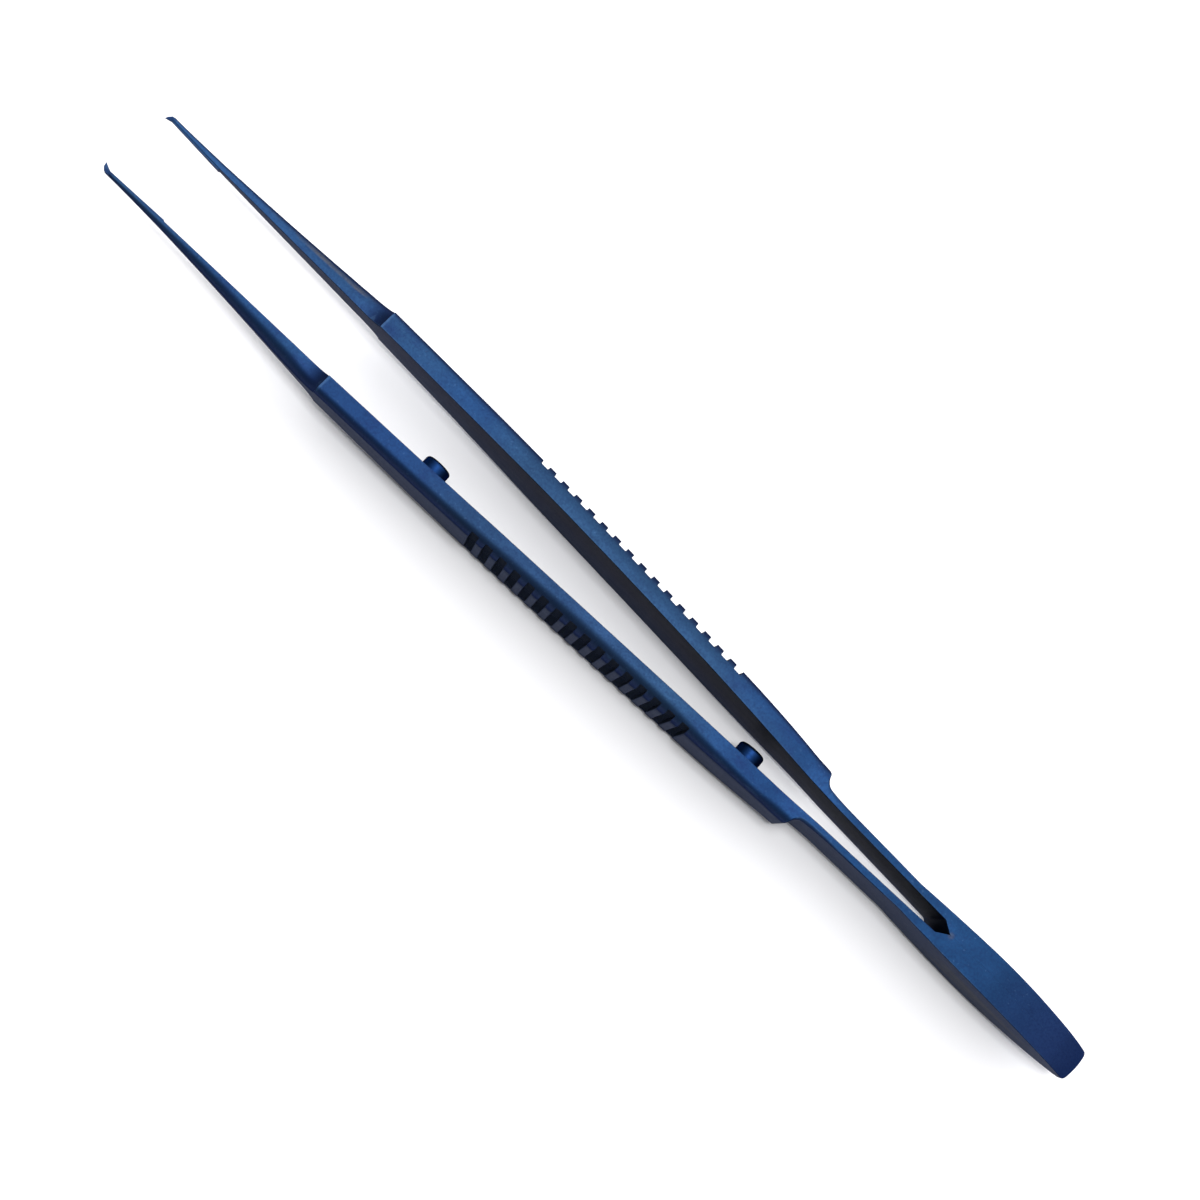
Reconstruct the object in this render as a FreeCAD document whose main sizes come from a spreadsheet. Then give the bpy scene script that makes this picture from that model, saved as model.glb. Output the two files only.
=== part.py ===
import FreeCAD, Part
import math
import os
import re
import Sketcher
from FreeCAD import Placement, Rotation, Vector

# Suturing forceps with a flat grooved grip, tying platforms and one-into-two teeth.
# Millimetres. +X runs from the tail to the tips, +Z across the width of the grip, and the
# two arms are mirror images about Y = 0. The origin is under the middle of the bounding
# box, on the surface that the forceps lie on; the sketches are drawn about the middle
# plane of the width and lifted onto that surface by each body's Placement.

# Driving dimensions. A "place" is a distance along X from the end of the tail, a "half"
# size is measured from the middle plane, and an angle is in degrees.
SIZES = {
    "overall_length": 110.0,
    # Inner faces: one long bow of this radius, level at its crown
    "arm_bow_radius": 1500.0,
    "bow_crown_place": 110.0,
    "bow_crown_half_gap": 3.14,
    # Tail, welded along the middle plane
    "tail_half_thickness": 1.5,
    "tail_end_drop": 0.3,
    "tail_corner_radius": 0.4,
    "tail_crown_radius": 215.0,
    "tail_nose_half_width": 0.35,
    "tail_widest_place": 11.5,
    "tail_half_width": 3.87,
    # Slot between the two spring leaves
    "slot_place": 16.0,
    "slot_nose_length": 1.1,
    "slot_half_width": 0.66,
    # Spring leaf
    "leaf_outer_place": 20.5,
    "leaf_thickness": 0.64,
    "leaf_end_place": 30.0,
    "leaf_rear_half_width": 3.4,
    "leaf_front_half_width": 3.15,
    "flexure_gap": 0.04,
    # Grip
    "rear_shoulder_place": 31.5,
    "rear_shoulder_lean": 0.7,
    "rear_shoulder_radius": 0.9,
    "grip_thickness": 1.86,
    "grip_half_width": 4.42,
    "grip_edge_radius": 0.7,
    "widening_place": 33.0,
    "rear_taper_place": 39.5,
    "rear_taper_narrowing": 0.42,
    "rest_face_rear_place": 45.5,
    "rest_face_front_place": 60.0,
    "front_taper_place": 66.0,
    "front_taper_narrowing": 0.42,
    "front_shoulder_place": 84.3,
    "front_shoulder_half_width": 2.4,
    # Grooves across the grip
    "groove_count": 16,
    "first_groove_place": 43.6,
    "groove_pitch": 1.537,
    "groove_width": 0.8,
    "groove_depth": 0.45,
    # Neck, where the grip sweeps in to the shank from a small step round its front end
    "shoulder_step": 0.1,
    "neck_length": 3.0,
    "neck_half_width": 1.5,
    "neck_thickness": 1.66,
    "neck_corner_share": 0.7,
    "sweep_share": 0.2,
    "sweep_narrowing": 0.6,
    "throat_share": 0.5,
    "throat_narrowing": 0.9,
    # Shank, with a section part of the way from the neck to the platform
    "shank_corner_share": 0.8,
    "shank_middle_share": 0.62,
    "shank_middle_half_width": 0.93,
    "shank_middle_thickness": 0.98,
    "shank_front_half_width": 0.52,
    "shank_front_thickness": 0.58,
    "shank_end_half_width": 0.34,
    "shank_end_thickness": 0.2,
    # Tying platform, which meets the other one flat when the arms have turned by this angle
    "closing_angle": 2.2,
    "closed_clearance": 0.06,
    "platform_reach": 6.8,
    "platform_rise": 0.1,
    "platform_root": 0.05,
    "platform_half_width": 0.42,
    "plain_arm_setback": 1.15,
    # Teeth
    "tooth_root_length": 0.3,
    "tooth_back_share": 0.35,
    "tooth_tip_length": 0.12,
    "tooth_tip_height": 0.06,
    "tooth_half_width": 0.1,
    "tooth_clearance": 0.04,
    "plain_tooth_reach": 0.58,
    "plain_tooth_height": 0.22,
    "pin_side_root_length": 0.6,
    "pin_side_tooth_height": 0.34,
    # Stop pins, pressed into blind bores of the pin-side arm
    "stop_pin_radius": 1.25,
    "stop_pin_chamfer": 0.2,
    "stop_pin_depth": 1.3,
    "stop_pin_interference": 0.005,
    "rear_pin_place": 37.7,
    "rear_pin_height": 1.5,
    "front_pin_place": 72.9,
    "front_pin_height": 1.3,
}

PIN_SIDE = 1
PLAIN_SIDE = -1
SHEET_NAME = "Sizes"

# How far a cut runs on past the surface that it opens, and how far waste is cleared round it
OVERRUN = "1"
CLEARING = "10"

# How near a point must lie to the edge or face that it is looked up by
NEAR = 1e-4


def make_sheet(doc):
    """Write the driving dimensions to a sheet, one named cell each."""
    sheet = doc.addObject("Spreadsheet::Sheet", SHEET_NAME)
    for row, (name, value) in enumerate(SIZES.items(), start=1):
        sheet.set(f"A{row}", name.replace("_", " "))
        sheet.set(f"B{row}", str(value))
        sheet.setAlias(f"B{row}", name)
    doc.recompute()
    return sheet


def bound(formula):
    """The formula as the document reads it, with each size taken from the sheet."""
    return re.sub(r"\b([a-z]+(?:_[a-z]+)+)\b", SHEET_NAME + r".\1", formula)


def value_of(doc, formula):
    """The present value of a formula."""
    return float(doc.getObject(SHEET_NAME).evalExpression(bound(formula)))


# Formulas of the form, as functions of a place along X


def bow_at(place):
    """Half gap of the bowed inner face."""
    return (f"(bow_crown_half_gap - arm_bow_radius"
            f" + sqrt(arm_bow_radius ^ 2 - (bow_crown_place - {place}) ^ 2))")


SLOT_CORNER = "(slot_place + slot_nose_length)"
FLEXURE = f"(({SLOT_CORNER} + leaf_end_place) / 2)"
NECK_END = "(front_shoulder_place + neck_length)"
PLATFORM = "(overall_length - platform_reach)"
SHANK_MIDDLE = f"({NECK_END} + ({PLATFORM} - {NECK_END}) * shank_middle_share)"
PLAIN_ARM_END = "(overall_length - plain_arm_setback)"


def leaf_inner_at(place):
    """Half gap of the leaf's straight inner face, from the slot to the bow."""
    rise = f"({bow_at('leaf_end_place')} - slot_half_width)"
    return f"(slot_half_width + {rise} * ({place} - {SLOT_CORNER}) / (leaf_end_place - {SLOT_CORNER}))"


def leaf_outer_at(place):
    """Half thickness over the leaf's outer face."""
    return f"({leaf_inner_at(place)} + leaf_thickness)"


def platform_at(place):
    """Half gap of the platform's face, level once the arm has closed about the flexure."""
    axis = f"({leaf_inner_at(FLEXURE)} + leaf_thickness / 2)"
    reach = f"({place} - {FLEXURE}) * sin(closing_angle)"
    return f"({axis} + (closed_clearance / 2 - {axis} + {reach}) / cos(closing_angle))"


def tangent_radius(run, rise):
    """Radius of an arc that is level at one end and has left that level by rise at the other."""
    return f"((({run}) ^ 2 + ({rise}) ^ 2) / (2 * ({rise})))"


# Drawing in sketches


def origin_plane(body, role):
    """One of the body's own origin planes."""
    return next(feature for feature in body.Origin.OriginFeatures if feature.Role == role)


def new_sketch(body, name, role, distance=None):
    """A sketch on an origin plane, moved off it along its normal by a formula."""
    sketch = body.newObject("Sketcher::SketchObject", name)
    sketch.AttachmentSupport = (origin_plane(body, role), [""])
    sketch.MapMode = "FlatFace"
    if distance:
        sketch.setExpression("AttachmentOffset.Base.z", bound(distance))
    body.Document.recompute()
    return sketch


def arc_between(start, end, radius, bulge):
    """Arc from start to end; bulge is 1 to bow left of the way from start to end, or -1."""
    chord = end - start
    left = Vector(-chord.y, chord.x, 0).normalize()
    to_centre = math.sqrt(radius ** 2 - (chord.Length / 2) ** 2)
    centre = (start + end) / 2 - left * bulge * to_centre
    first, last = (start, end) if bulge < 0 else (end, start)
    first_angle = math.atan2(first.y - centre.y, first.x - centre.x)
    last_angle = math.atan2(last.y - centre.y, last.x - centre.x)
    if last_angle < first_angle:
        last_angle += 2 * math.pi
    return Part.ArcOfCircle(Part.Circle(centre, Vector(0, 0, 1), radius), first_angle, last_angle)


def hold(sketch, constraint, formula):
    """Add a dimension and tie it to the sheet."""
    index = sketch.addConstraint(constraint)
    sketch.setExpression(f"Constraints[{index}]", bound(formula))


def draw_outline(sketch, corners, side=1):
    """Draw a closed outline whose corners are formulas.

    Each corner is (x, y) for a straight edge to the next corner, or (x, y, radius, bulge)
    for an arc to it. With side -1 the outline is mirrored in its second coordinate.
    """
    doc = sketch.Document
    points = []
    for corner in corners:
        points.append(Vector(value_of(doc, corner[0]), side * value_of(doc, corner[1]), 0))
    ends = []
    for index, corner in enumerate(corners):
        start = points[index]
        end = points[(index + 1) % len(points)]
        if len(corner) == 2:
            ends.append((sketch.addGeometry(Part.LineSegment(start, end), False), 1, 2))
            continue
        bulge = corner[3] * side
        arc = arc_between(start, end, value_of(doc, corner[2]), bulge)
        ends.append((sketch.addGeometry(arc, False), 1, 2) if bulge < 0 else
                    (sketch.addGeometry(arc, False), 2, 1))
    for index, (edge, start_point, end_point) in enumerate(ends):
        following = ends[(index + 1) % len(ends)]
        sketch.addConstraint(Sketcher.Constraint("Coincident", edge, end_point, following[0], following[1]))
    for (edge, start_point, end_point), corner, point in zip(ends, corners, points):
        hold(sketch, Sketcher.Constraint("DistanceX", edge, start_point, point.x), corner[0])
        sign = "" if side > 0 else "-"
        hold(sketch, Sketcher.Constraint("DistanceY", edge, start_point, point.y), f"{sign}({corner[1]})")
        if len(corner) > 2:
            hold(sketch, Sketcher.Constraint("Radius", edge, value_of(doc, corner[2])), corner[2])


def both_halves(upper):
    """Close an outline about the first axis, from its corners above that axis."""
    lower = []
    for index in range(len(upper) - 1, -1, -1):
        edge_before = upper[index - 1][2:] if index else ()
        lower.append((upper[index][0], f"-({upper[index][1]})") + tuple(edge_before))
    return upper[:-1] + [upper[-1][:2]] + lower


def edge_names(feature, wanted):
    """Names of the feature's edges for which wanted(edge) is true."""
    return [f"Edge{index}" for index, edge in enumerate(feature.Shape.Edges, start=1) if wanted(edge)]


def round_edges(body, feature, name, radius, wanted):
    """Fillet the wanted edges of a feature."""
    fillet = body.newObject("PartDesign::Fillet", name)
    fillet.Base = (feature, edge_names(feature, wanted))
    fillet.setExpression("Radius", bound(radius))
    body.Document.recompute()
    return fillet


def extrude_both_ways(body, sketch, name, full_length):
    """Pad a sketch by half the length to each side of its plane."""
    pad = body.newObject("PartDesign::Pad", name)
    pad.Profile = sketch
    pad.SideType = "Symmetric"
    pad.setExpression("Length", bound(full_length))
    body.Document.recompute()
    return pad


def upright_edge_at(x, y):
    """Test for an edge parallel to Z through a point."""
    def matches(edge):
        first = edge.Vertexes[0].Point
        last = edge.Vertexes[-1].Point
        upright = abs(first.x - last.x) + abs(first.y - last.y) < NEAR
        return upright and math.hypot(first.x - x, first.y - y) < NEAR
    return matches


# Width of the whole arm, seen along Y


def width_outline():
    """Outline that trims both the tail and the arm to their width."""
    clear_of_tail = f"-{OVERRUN}"
    nose_rise = "tail_half_width - tail_nose_half_width"
    waist_fall = "tail_half_width - leaf_rear_half_width"
    upper = [
        (clear_of_tail, "tail_nose_half_width"),
        ("0", "tail_nose_half_width", tangent_radius("tail_widest_place", nose_rise), 1),
        ("tail_widest_place", "tail_half_width",
         tangent_radius("leaf_outer_place - tail_widest_place", waist_fall), 1),
        ("leaf_outer_place", "leaf_rear_half_width"),
        ("widening_place", "leaf_front_half_width"),
        ("rear_taper_place", "(grip_half_width - rear_taper_narrowing)",
         tangent_radius("rest_face_rear_place - rear_taper_place", "rear_taper_narrowing"), 1),
        ("rest_face_rear_place", "grip_half_width"),
        ("rest_face_front_place", "grip_half_width",
         tangent_radius("front_taper_place - rest_face_front_place", "front_taper_narrowing"), 1),
        ("front_taper_place", "(grip_half_width - front_taper_narrowing)"),
        ("front_shoulder_place", "front_shoulder_half_width"),
        (NECK_END, "front_shoulder_half_width"),
    ]
    return both_halves(upper)


def trim_to_width(body):
    """Cut away all that lies outside the width outline."""
    sketch = new_sketch(body, "width_sketch", "XZ_Plane")
    draw_outline(sketch, width_outline())
    near = f"-{CLEARING}"
    far = f"overall_length + {CLEARING}"
    high = f"grip_half_width + {CLEARING}"
    draw_outline(sketch, [(near, f"-({high})"), (far, f"-({high})"), (far, high), (near, high)])
    pocket = body.newObject("PartDesign::Pocket", "width_cut")
    pocket.Profile = sketch
    pocket.Type = "ThroughAll"
    pocket.SideType = "Symmetric"
    body.Document.recompute()
    return pocket


# Tail halves


def make_tail_half(doc, label, side):
    """One half of the welded tail, with the rear half of its spring leaf."""
    body = doc.addObject("PartDesign::Body", label)
    sketch = new_sketch(body, "profile_sketch", "XY_Plane")
    cut = f"({FLEXURE} - flexure_gap / 2)"
    end_radius = tangent_radius("tail_half_thickness", "tail_end_drop")
    draw_outline(sketch, [
        ("0", "0"),
        ("slot_place", "0"),
        (SLOT_CORNER, "slot_half_width"),
        (cut, leaf_inner_at(cut)),
        (cut, leaf_outer_at(cut)),
        ("leaf_outer_place", leaf_outer_at("leaf_outer_place"), "tail_crown_radius", -1),
        ("tail_end_drop", "tail_half_thickness", end_radius, -1),
    ], side)
    pad = extrude_both_ways(body, sketch, "profile", "2 * grip_half_width")
    corner = upright_edge_at(value_of(doc, "tail_end_drop"), side * value_of(doc, "tail_half_thickness"))
    rounded = round_edges(body, pad, "end_corner", "tail_corner_radius", corner)
    body.Tip = rounded
    trim_to_width(body)
    return body


# Arms


def arm_profile(body, side):
    """Leaf and grip: their outline seen along Z, trimmed to the width seen along Y."""
    doc = body.Document
    sketch = new_sketch(body, "profile_sketch", "XY_Plane")
    cut = f"({FLEXURE} + flexure_gap / 2)"
    shoulder_top = "(rear_shoulder_place + rear_shoulder_lean)"
    outer_radius = "(arm_bow_radius + grip_thickness)"

    def outer_at(place):
        return (f"(bow_crown_half_gap - arm_bow_radius"
                f" + sqrt({outer_radius} ^ 2 - (bow_crown_place - {place}) ^ 2))")

    draw_outline(sketch, [
        (cut, leaf_inner_at(cut)),
        ("leaf_end_place", bow_at("leaf_end_place"), "arm_bow_radius", 1),
        ("front_shoulder_place", bow_at("front_shoulder_place")),
        ("front_shoulder_place", outer_at("front_shoulder_place"), outer_radius, -1),
        (shoulder_top, outer_at(shoulder_top)),
        ("rear_shoulder_place", leaf_outer_at("rear_shoulder_place")),
        (cut, leaf_outer_at(cut)),
    ], side)
    extrude_both_ways(body, sketch, "profile", "2 * grip_half_width")
    trimmed = trim_to_width(body)

    centre_x = value_of(doc, "bow_crown_place")
    centre_y = side * value_of(doc, "bow_crown_half_gap - arm_bow_radius")
    radius = value_of(doc, outer_radius)

    def on_outer_face(point):
        return abs(math.hypot(point.x - centre_x, point.y - centre_y) - radius) < NEAR

    def runs_along_grip(edge):
        first = edge.Vertexes[0].Point
        last = edge.Vertexes[-1].Point
        return abs(first.x - last.x) > NEAR and on_outer_face(first) and on_outer_face(last)

    edged = round_edges(body, trimmed, "grip_edges", "grip_edge_radius", runs_along_grip)
    foot = upright_edge_at(value_of(doc, "rear_shoulder_place"),
                           side * value_of(doc, leaf_outer_at("rear_shoulder_place")))
    return round_edges(body, edged, "rear_shoulder", "rear_shoulder_radius", foot)


def cut_grooves(body, side):
    """Straight grooves across the grip, set out round the centre of the arm's bow."""
    sketch = new_sketch(body, "groove_sketch", "XY_Plane")
    sketch.setExpression("AttachmentOffset.Base.x", bound("bow_crown_place"))
    sketch.setExpression("AttachmentOffset.Base.y", bound(f"{side} * (bow_crown_half_gap - arm_bow_radius)"))
    turn = "(bow_crown_place - first_groove_place) / arm_bow_radius * 180 / pi"
    sketch.setExpression("AttachmentOffset.Rotation.Angle", bound(f"{side} * {turn}"))
    floor = "(arm_bow_radius + grip_thickness - groove_depth)"
    mouth = f"(arm_bow_radius + grip_thickness + {OVERRUN})"
    draw_outline(sketch, [
        ("-(groove_width / 2)", floor),
        ("groove_width / 2", floor),
        ("groove_width / 2", mouth),
        ("-(groove_width / 2)", mouth),
    ], side)
    groove = body.newObject("PartDesign::Pocket", "groove")
    groove.Profile = sketch
    groove.Type = "ThroughAll"
    groove.SideType = "Symmetric"
    body.Document.recompute()
    pattern = body.newObject("PartDesign::PolarPattern", "grooves")
    pattern.Originals = [groove]
    pattern.Axis = (sketch, ["N_Axis"])
    pattern.Mode = "Spacing"
    pattern.Reversed = side > 0
    pattern.setExpression("Offset", bound("groove_pitch / (arm_bow_radius + grip_thickness) * 180 / pi"))
    pattern.setExpression("Occurrences", bound("groove_count"))
    body.Tip = pattern
    body.Document.recompute()
    return pattern


def section(body, name, side, place, inner, half_width, thickness, corner_share):
    """A cross-section of the shank: flat inside, with its two outer corners rounded.

    The corner radius is a share of the smaller of the half width and the thickness.
    """
    sketch = new_sketch(body, name, "YZ_Plane", place)
    corner = f"({corner_share} * min({half_width}; {thickness}))"
    outer = f"({inner} + {thickness})"
    sign = "" if side > 0 else "-"

    def across(formula):
        return f"{sign}({formula})"

    draw_outline(sketch, [
        (across(inner), f"-({half_width})"),
        (across(f"{outer} - {corner}"), f"-({half_width})", corner, -side),
        (across(outer), f"-({half_width} - {corner})"),
        (across(outer), f"{half_width} - {corner}", corner, -side),
        (across(f"{outer} - {corner}"), half_width),
        (across(inner), half_width),
    ])
    return sketch


def loft_through(body, name, sketches):
    """Join sections by straight rulings, each section to the next."""
    loft = body.newObject("PartDesign::AdditiveLoft", name)
    loft.Profile = sketches[0]
    loft.Sections = sketches[1:]
    loft.Ruled = True
    body.Document.recompute()
    return loft


def shank_inner_at(place):
    """Half gap of the shank's inner face: straight from the neck to the platform's foot."""
    start = bow_at(NECK_END)
    end = f"({platform_at(PLATFORM)} + platform_rise)"
    return f"({start} + ({end} - {start}) * ({place} - {NECK_END}) / ({PLATFORM} - {NECK_END}))"


def add_shank(body, side, end_place):
    """Neck, tapered shank and the back of the platform."""
    shoulder = "front_shoulder_place"
    shoulder_half_width = "(front_shoulder_half_width - shoulder_step)"
    shoulder_thickness = "(grip_thickness - shoulder_step)"
    shoulder_corner = f"(grip_edge_radius / min({shoulder_half_width}; {shoulder_thickness}))"

    def part_way(start, end, share):
        return f"({start} + ({end} - {start}) * {share})"

    sections = [section(body, "shoulder_section", side, shoulder, bow_at(shoulder),
                        shoulder_half_width, shoulder_thickness, shoulder_corner)]
    # The width sweeps in quickly at first, as a ball-nosed cutter leaves it
    for name in ("sweep", "throat"):
        along = f"{name}_share"
        place = f"(front_shoulder_place + {along} * neck_length)"
        sections.append(section(body, f"{name}_section", side, place, bow_at(place),
                                part_way(shoulder_half_width, "neck_half_width", f"{name}_narrowing"),
                                part_way(shoulder_thickness, "neck_thickness", along), "neck_corner_share"))
    neck_section = section(body, "neck_section", side, NECK_END, bow_at(NECK_END),
                           "neck_half_width", "neck_thickness", "shank_corner_share")
    loft_through(body, "neck", sections + [neck_section])
    middle = section(body, "shank_middle_section", side, SHANK_MIDDLE, shank_inner_at(SHANK_MIDDLE),
                     "shank_middle_half_width", "shank_middle_thickness", "shank_corner_share")
    front = section(body, "shank_front_section", side, PLATFORM, shank_inner_at(PLATFORM),
                    "shank_front_half_width", "shank_front_thickness", "shank_corner_share")
    end = section(body, "shank_end_section", side, end_place, f"({platform_at(end_place)} + platform_rise)",
                  "shank_end_half_width", "shank_end_thickness", "shank_corner_share")
    loft_through(body, "shank", [neck_section, middle, front, end])


def pad_between(body, name, side, outline, full_width):
    """Pad an outline seen along Z by a width that is centred on the middle plane."""
    sketch = new_sketch(body, name + "_sketch", "XY_Plane")
    draw_outline(sketch, outline, side)
    return extrude_both_ways(body, sketch, name, full_width)


def add_platform(body, side, end_place):
    """The flat strip that the thread is tied against."""
    root = "(platform_rise + platform_root)"
    return pad_between(body, "platform", side, [
        (PLATFORM, platform_at(PLATFORM)),
        (end_place, platform_at(end_place)),
        (end_place, f"({platform_at(end_place)} + {root})"),
        (PLATFORM, f"({platform_at(PLATFORM)} + {root})"),
    ], "2 * platform_half_width")


def tooth_outline(root_place, tip_place, height):
    """A tooth that leans forwards from the platform towards the other arm."""
    face = platform_at(root_place)
    back = f"({face} + platform_rise + shank_end_thickness)"
    sunk_place = f"({root_place} - tooth_root_length)"
    return [
        (root_place, face),
        (tip_place, f"({platform_at(tip_place)} - {height})"),
        (f"({tip_place} - tooth_tip_length)", f"({platform_at(tip_place)} + tooth_tip_height)"),
        (f"({root_place} + tooth_back_share * ({tip_place} - {root_place}))", back),
        (sunk_place, back),
        (sunk_place, f"({face} + platform_rise / 2)"),
    ]


def make_plain_arm(doc):
    """The arm with no pins, which ends in a single tooth."""
    body = doc.addObject("PartDesign::Body", "plain_arm")
    arm_profile(body, PLAIN_SIDE)
    cut_grooves(body, PLAIN_SIDE)
    add_shank(body, PLAIN_SIDE, PLAIN_ARM_END)
    add_platform(body, PLAIN_SIDE, PLAIN_ARM_END)
    tip_place = f"({PLAIN_ARM_END} + plain_tooth_reach)"
    pad_between(body, "tooth", PLAIN_SIDE,
                tooth_outline(PLAIN_ARM_END, tip_place, "plain_tooth_height"), "2 * tooth_half_width")
    return body


def make_pin_side_arm(doc):
    """The arm that carries the stop pins, which ends in two teeth with a notch between."""
    body = doc.addObject("PartDesign::Body", "pin_side_arm")
    arm_profile(body, PIN_SIDE)
    cut_grooves(body, PIN_SIDE)
    root_place = "(overall_length - pin_side_root_length)"
    add_shank(body, PIN_SIDE, root_place)
    add_platform(body, PIN_SIDE, root_place)
    pad_between(body, "teeth", PIN_SIDE,
                tooth_outline(root_place, "overall_length", "pin_side_tooth_height"),
                "2 * shank_end_half_width")
    cut_tooth_notch(body)
    for name in ("rear_pin", "front_pin"):
        cut_pin_bore(body, name)
    return body


def cut_tooth_notch(body):
    """Part the pin-side tip in two, so that the plain arm's tooth closes between."""
    sketch = new_sketch(body, "notch_sketch", "XY_Plane")
    rear = f"({PLAIN_ARM_END} - tooth_root_length - tooth_clearance)"
    front = f"(overall_length + {OVERRUN})"
    deep = f"({platform_at('overall_length')} + plain_tooth_height)"
    draw_outline(sketch, [(rear, "0"), (front, "0"), (front, deep), (rear, deep)], PIN_SIDE)
    notch = body.newObject("PartDesign::Pocket", "notch")
    notch.Profile = sketch
    notch.SideType = "Symmetric"
    notch.setExpression("Length", bound("2 * (tooth_half_width + tooth_clearance)"))
    body.Document.recompute()
    return notch


# Stop pins


def pin_frame(doc, name):
    """Placement at the floor of a pin's bore, with +Z towards the other arm."""
    place = value_of(doc, name + "_place")
    radius = value_of(doc, "arm_bow_radius")
    depth = value_of(doc, "stop_pin_depth")
    centre = Vector(value_of(doc, "bow_crown_place"), value_of(doc, "bow_crown_half_gap") - radius, 0)
    outwards = (Vector(place, value_of(doc, bow_at(name + "_place")), 0) - centre).normalize()
    return Placement(centre + outwards * (radius + depth), Rotation(Vector(0, 0, 1), outwards * -1))


def cut_pin_bore(body, name):
    """Blind bore square to the arm's inner face."""
    bore = body.newObject("PartDesign::SubtractiveCylinder", name + "_bore")
    bore.Placement = pin_frame(body.Document, name)
    bore.setExpression("Radius", bound("stop_pin_radius - stop_pin_interference"))
    bore.setExpression("Height", bound(f"stop_pin_depth + {OVERRUN}"))
    body.Document.recompute()
    return bore


def make_stop_pin(doc, label, name):
    """A short pin with a chamfered rim, seated on the floor of its bore."""
    body = doc.addObject("PartDesign::Body", label)
    sketch = new_sketch(body, "end_sketch", "XY_Plane")
    circle = sketch.addGeometry(Part.Circle(Vector(0, 0, 0), Vector(0, 0, 1), SIZES["stop_pin_radius"]), False)
    sketch.addConstraint(Sketcher.Constraint("Coincident", circle, 3, -1, 1))
    hold(sketch, Sketcher.Constraint("Radius", circle, SIZES["stop_pin_radius"]), "stop_pin_radius")
    pad = body.newObject("PartDesign::Pad", "shank")
    pad.Profile = sketch
    pad.setExpression("Length", bound(f"stop_pin_depth + {name}_height"))
    doc.recompute()
    top = value_of(doc, f"stop_pin_depth + {name}_height")

    def at_the_top(edge):
        return all(abs(vertex.Point.z - top) < NEAR for vertex in edge.Vertexes)

    rim = body.newObject("PartDesign::Chamfer", "rim")
    rim.Base = (pad, edge_names(pad, at_the_top))
    rim.setExpression("Size", bound("stop_pin_chamfer"))
    doc.recompute()
    return body


def place_bodies(doc, bodies):
    """Move the tail's end to the rear of the box and the widest part of the grip to Z = 0."""
    lift = Placement(Vector(-value_of(doc, "overall_length / 2"), 0, value_of(doc, "grip_half_width")),
                     Rotation())
    for body, own in bodies:
        body.Placement = lift * own


def check_document(doc, bodies):
    """Stop if any object failed or any body is not one sound solid."""
    doc.recompute()
    for item in doc.Objects:
        if "Invalid" in item.State or "Error" in item.State:
            raise RuntimeError(f"{item.Name} of {item.Label} failed: {item.State}")
    for body in bodies:
        if body.Shape.isNull() or not body.Shape.isValid() or len(body.Shape.Solids) != 1:
            raise RuntimeError(f"{body.Label} is not one valid solid")


def main():
    """Build every piece, check it and write it."""
    doc = FreeCAD.newDocument("suturing_forceps")
    make_sheet(doc)
    still = Placement()
    bodies = [
        (make_tail_half(doc, "pin_side_tail_half", PIN_SIDE), still),
        (make_tail_half(doc, "plain_tail_half", PLAIN_SIDE), still),
        (make_pin_side_arm(doc), still),
        (make_plain_arm(doc), still),
        (make_stop_pin(doc, "rear_stop_pin", "rear_pin"), pin_frame(doc, "rear_pin")),
        (make_stop_pin(doc, "front_stop_pin", "front_pin"), pin_frame(doc, "front_pin")),
    ]
    place_bodies(doc, bodies)
    check_document(doc, [body for body, own in bodies])
    os.makedirs("parts", exist_ok=True)
    for body, own in bodies:
        body.Shape.exportStep(f"parts/{body.Label}.step")
        box = body.Shape.BoundBox
        print(f"{body.Label}: {body.Shape.Volume:.3f} mm3, X {box.XMin:.3f} to {box.XMax:.3f},"
              f" Y {box.YMin:.3f} to {box.YMax:.3f}, Z {box.ZMin:.3f} to {box.ZMax:.3f}")


main()
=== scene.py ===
import logging
import math
from dataclasses import dataclass, field
from enum import Enum
from typing import Any, Callable, Mapping, Optional, Sequence, Union

import bpy
import numpy as np
from mathutils import Matrix, Vector


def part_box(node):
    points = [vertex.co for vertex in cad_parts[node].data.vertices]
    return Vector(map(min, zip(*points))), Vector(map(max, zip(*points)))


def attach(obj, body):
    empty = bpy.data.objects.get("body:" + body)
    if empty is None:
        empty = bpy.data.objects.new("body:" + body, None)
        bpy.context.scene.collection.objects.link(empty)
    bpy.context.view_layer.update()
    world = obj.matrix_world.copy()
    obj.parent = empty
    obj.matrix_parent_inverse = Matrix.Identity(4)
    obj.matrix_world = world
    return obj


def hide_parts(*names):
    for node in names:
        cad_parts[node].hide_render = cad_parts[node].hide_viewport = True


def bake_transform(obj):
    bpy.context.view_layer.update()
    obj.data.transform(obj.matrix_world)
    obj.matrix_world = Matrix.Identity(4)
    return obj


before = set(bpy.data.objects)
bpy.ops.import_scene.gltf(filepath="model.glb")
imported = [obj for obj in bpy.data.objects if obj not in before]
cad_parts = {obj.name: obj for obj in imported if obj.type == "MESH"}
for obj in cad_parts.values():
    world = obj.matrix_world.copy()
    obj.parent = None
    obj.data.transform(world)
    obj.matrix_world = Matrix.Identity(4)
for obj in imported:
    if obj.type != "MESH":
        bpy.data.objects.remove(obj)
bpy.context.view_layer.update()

# Suturing forceps of blue anodised titanium, lying on their side on a white table.
# Shapes are worked out in millimetres. A "place" is a distance along the forceps from the
# end of the tail, y is measured from the middle plane between the arms, and z across the
# width from its middle. Meshes are written in metres, in the row's frame.

log = logging.getLogger("suturing_forceps")

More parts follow.
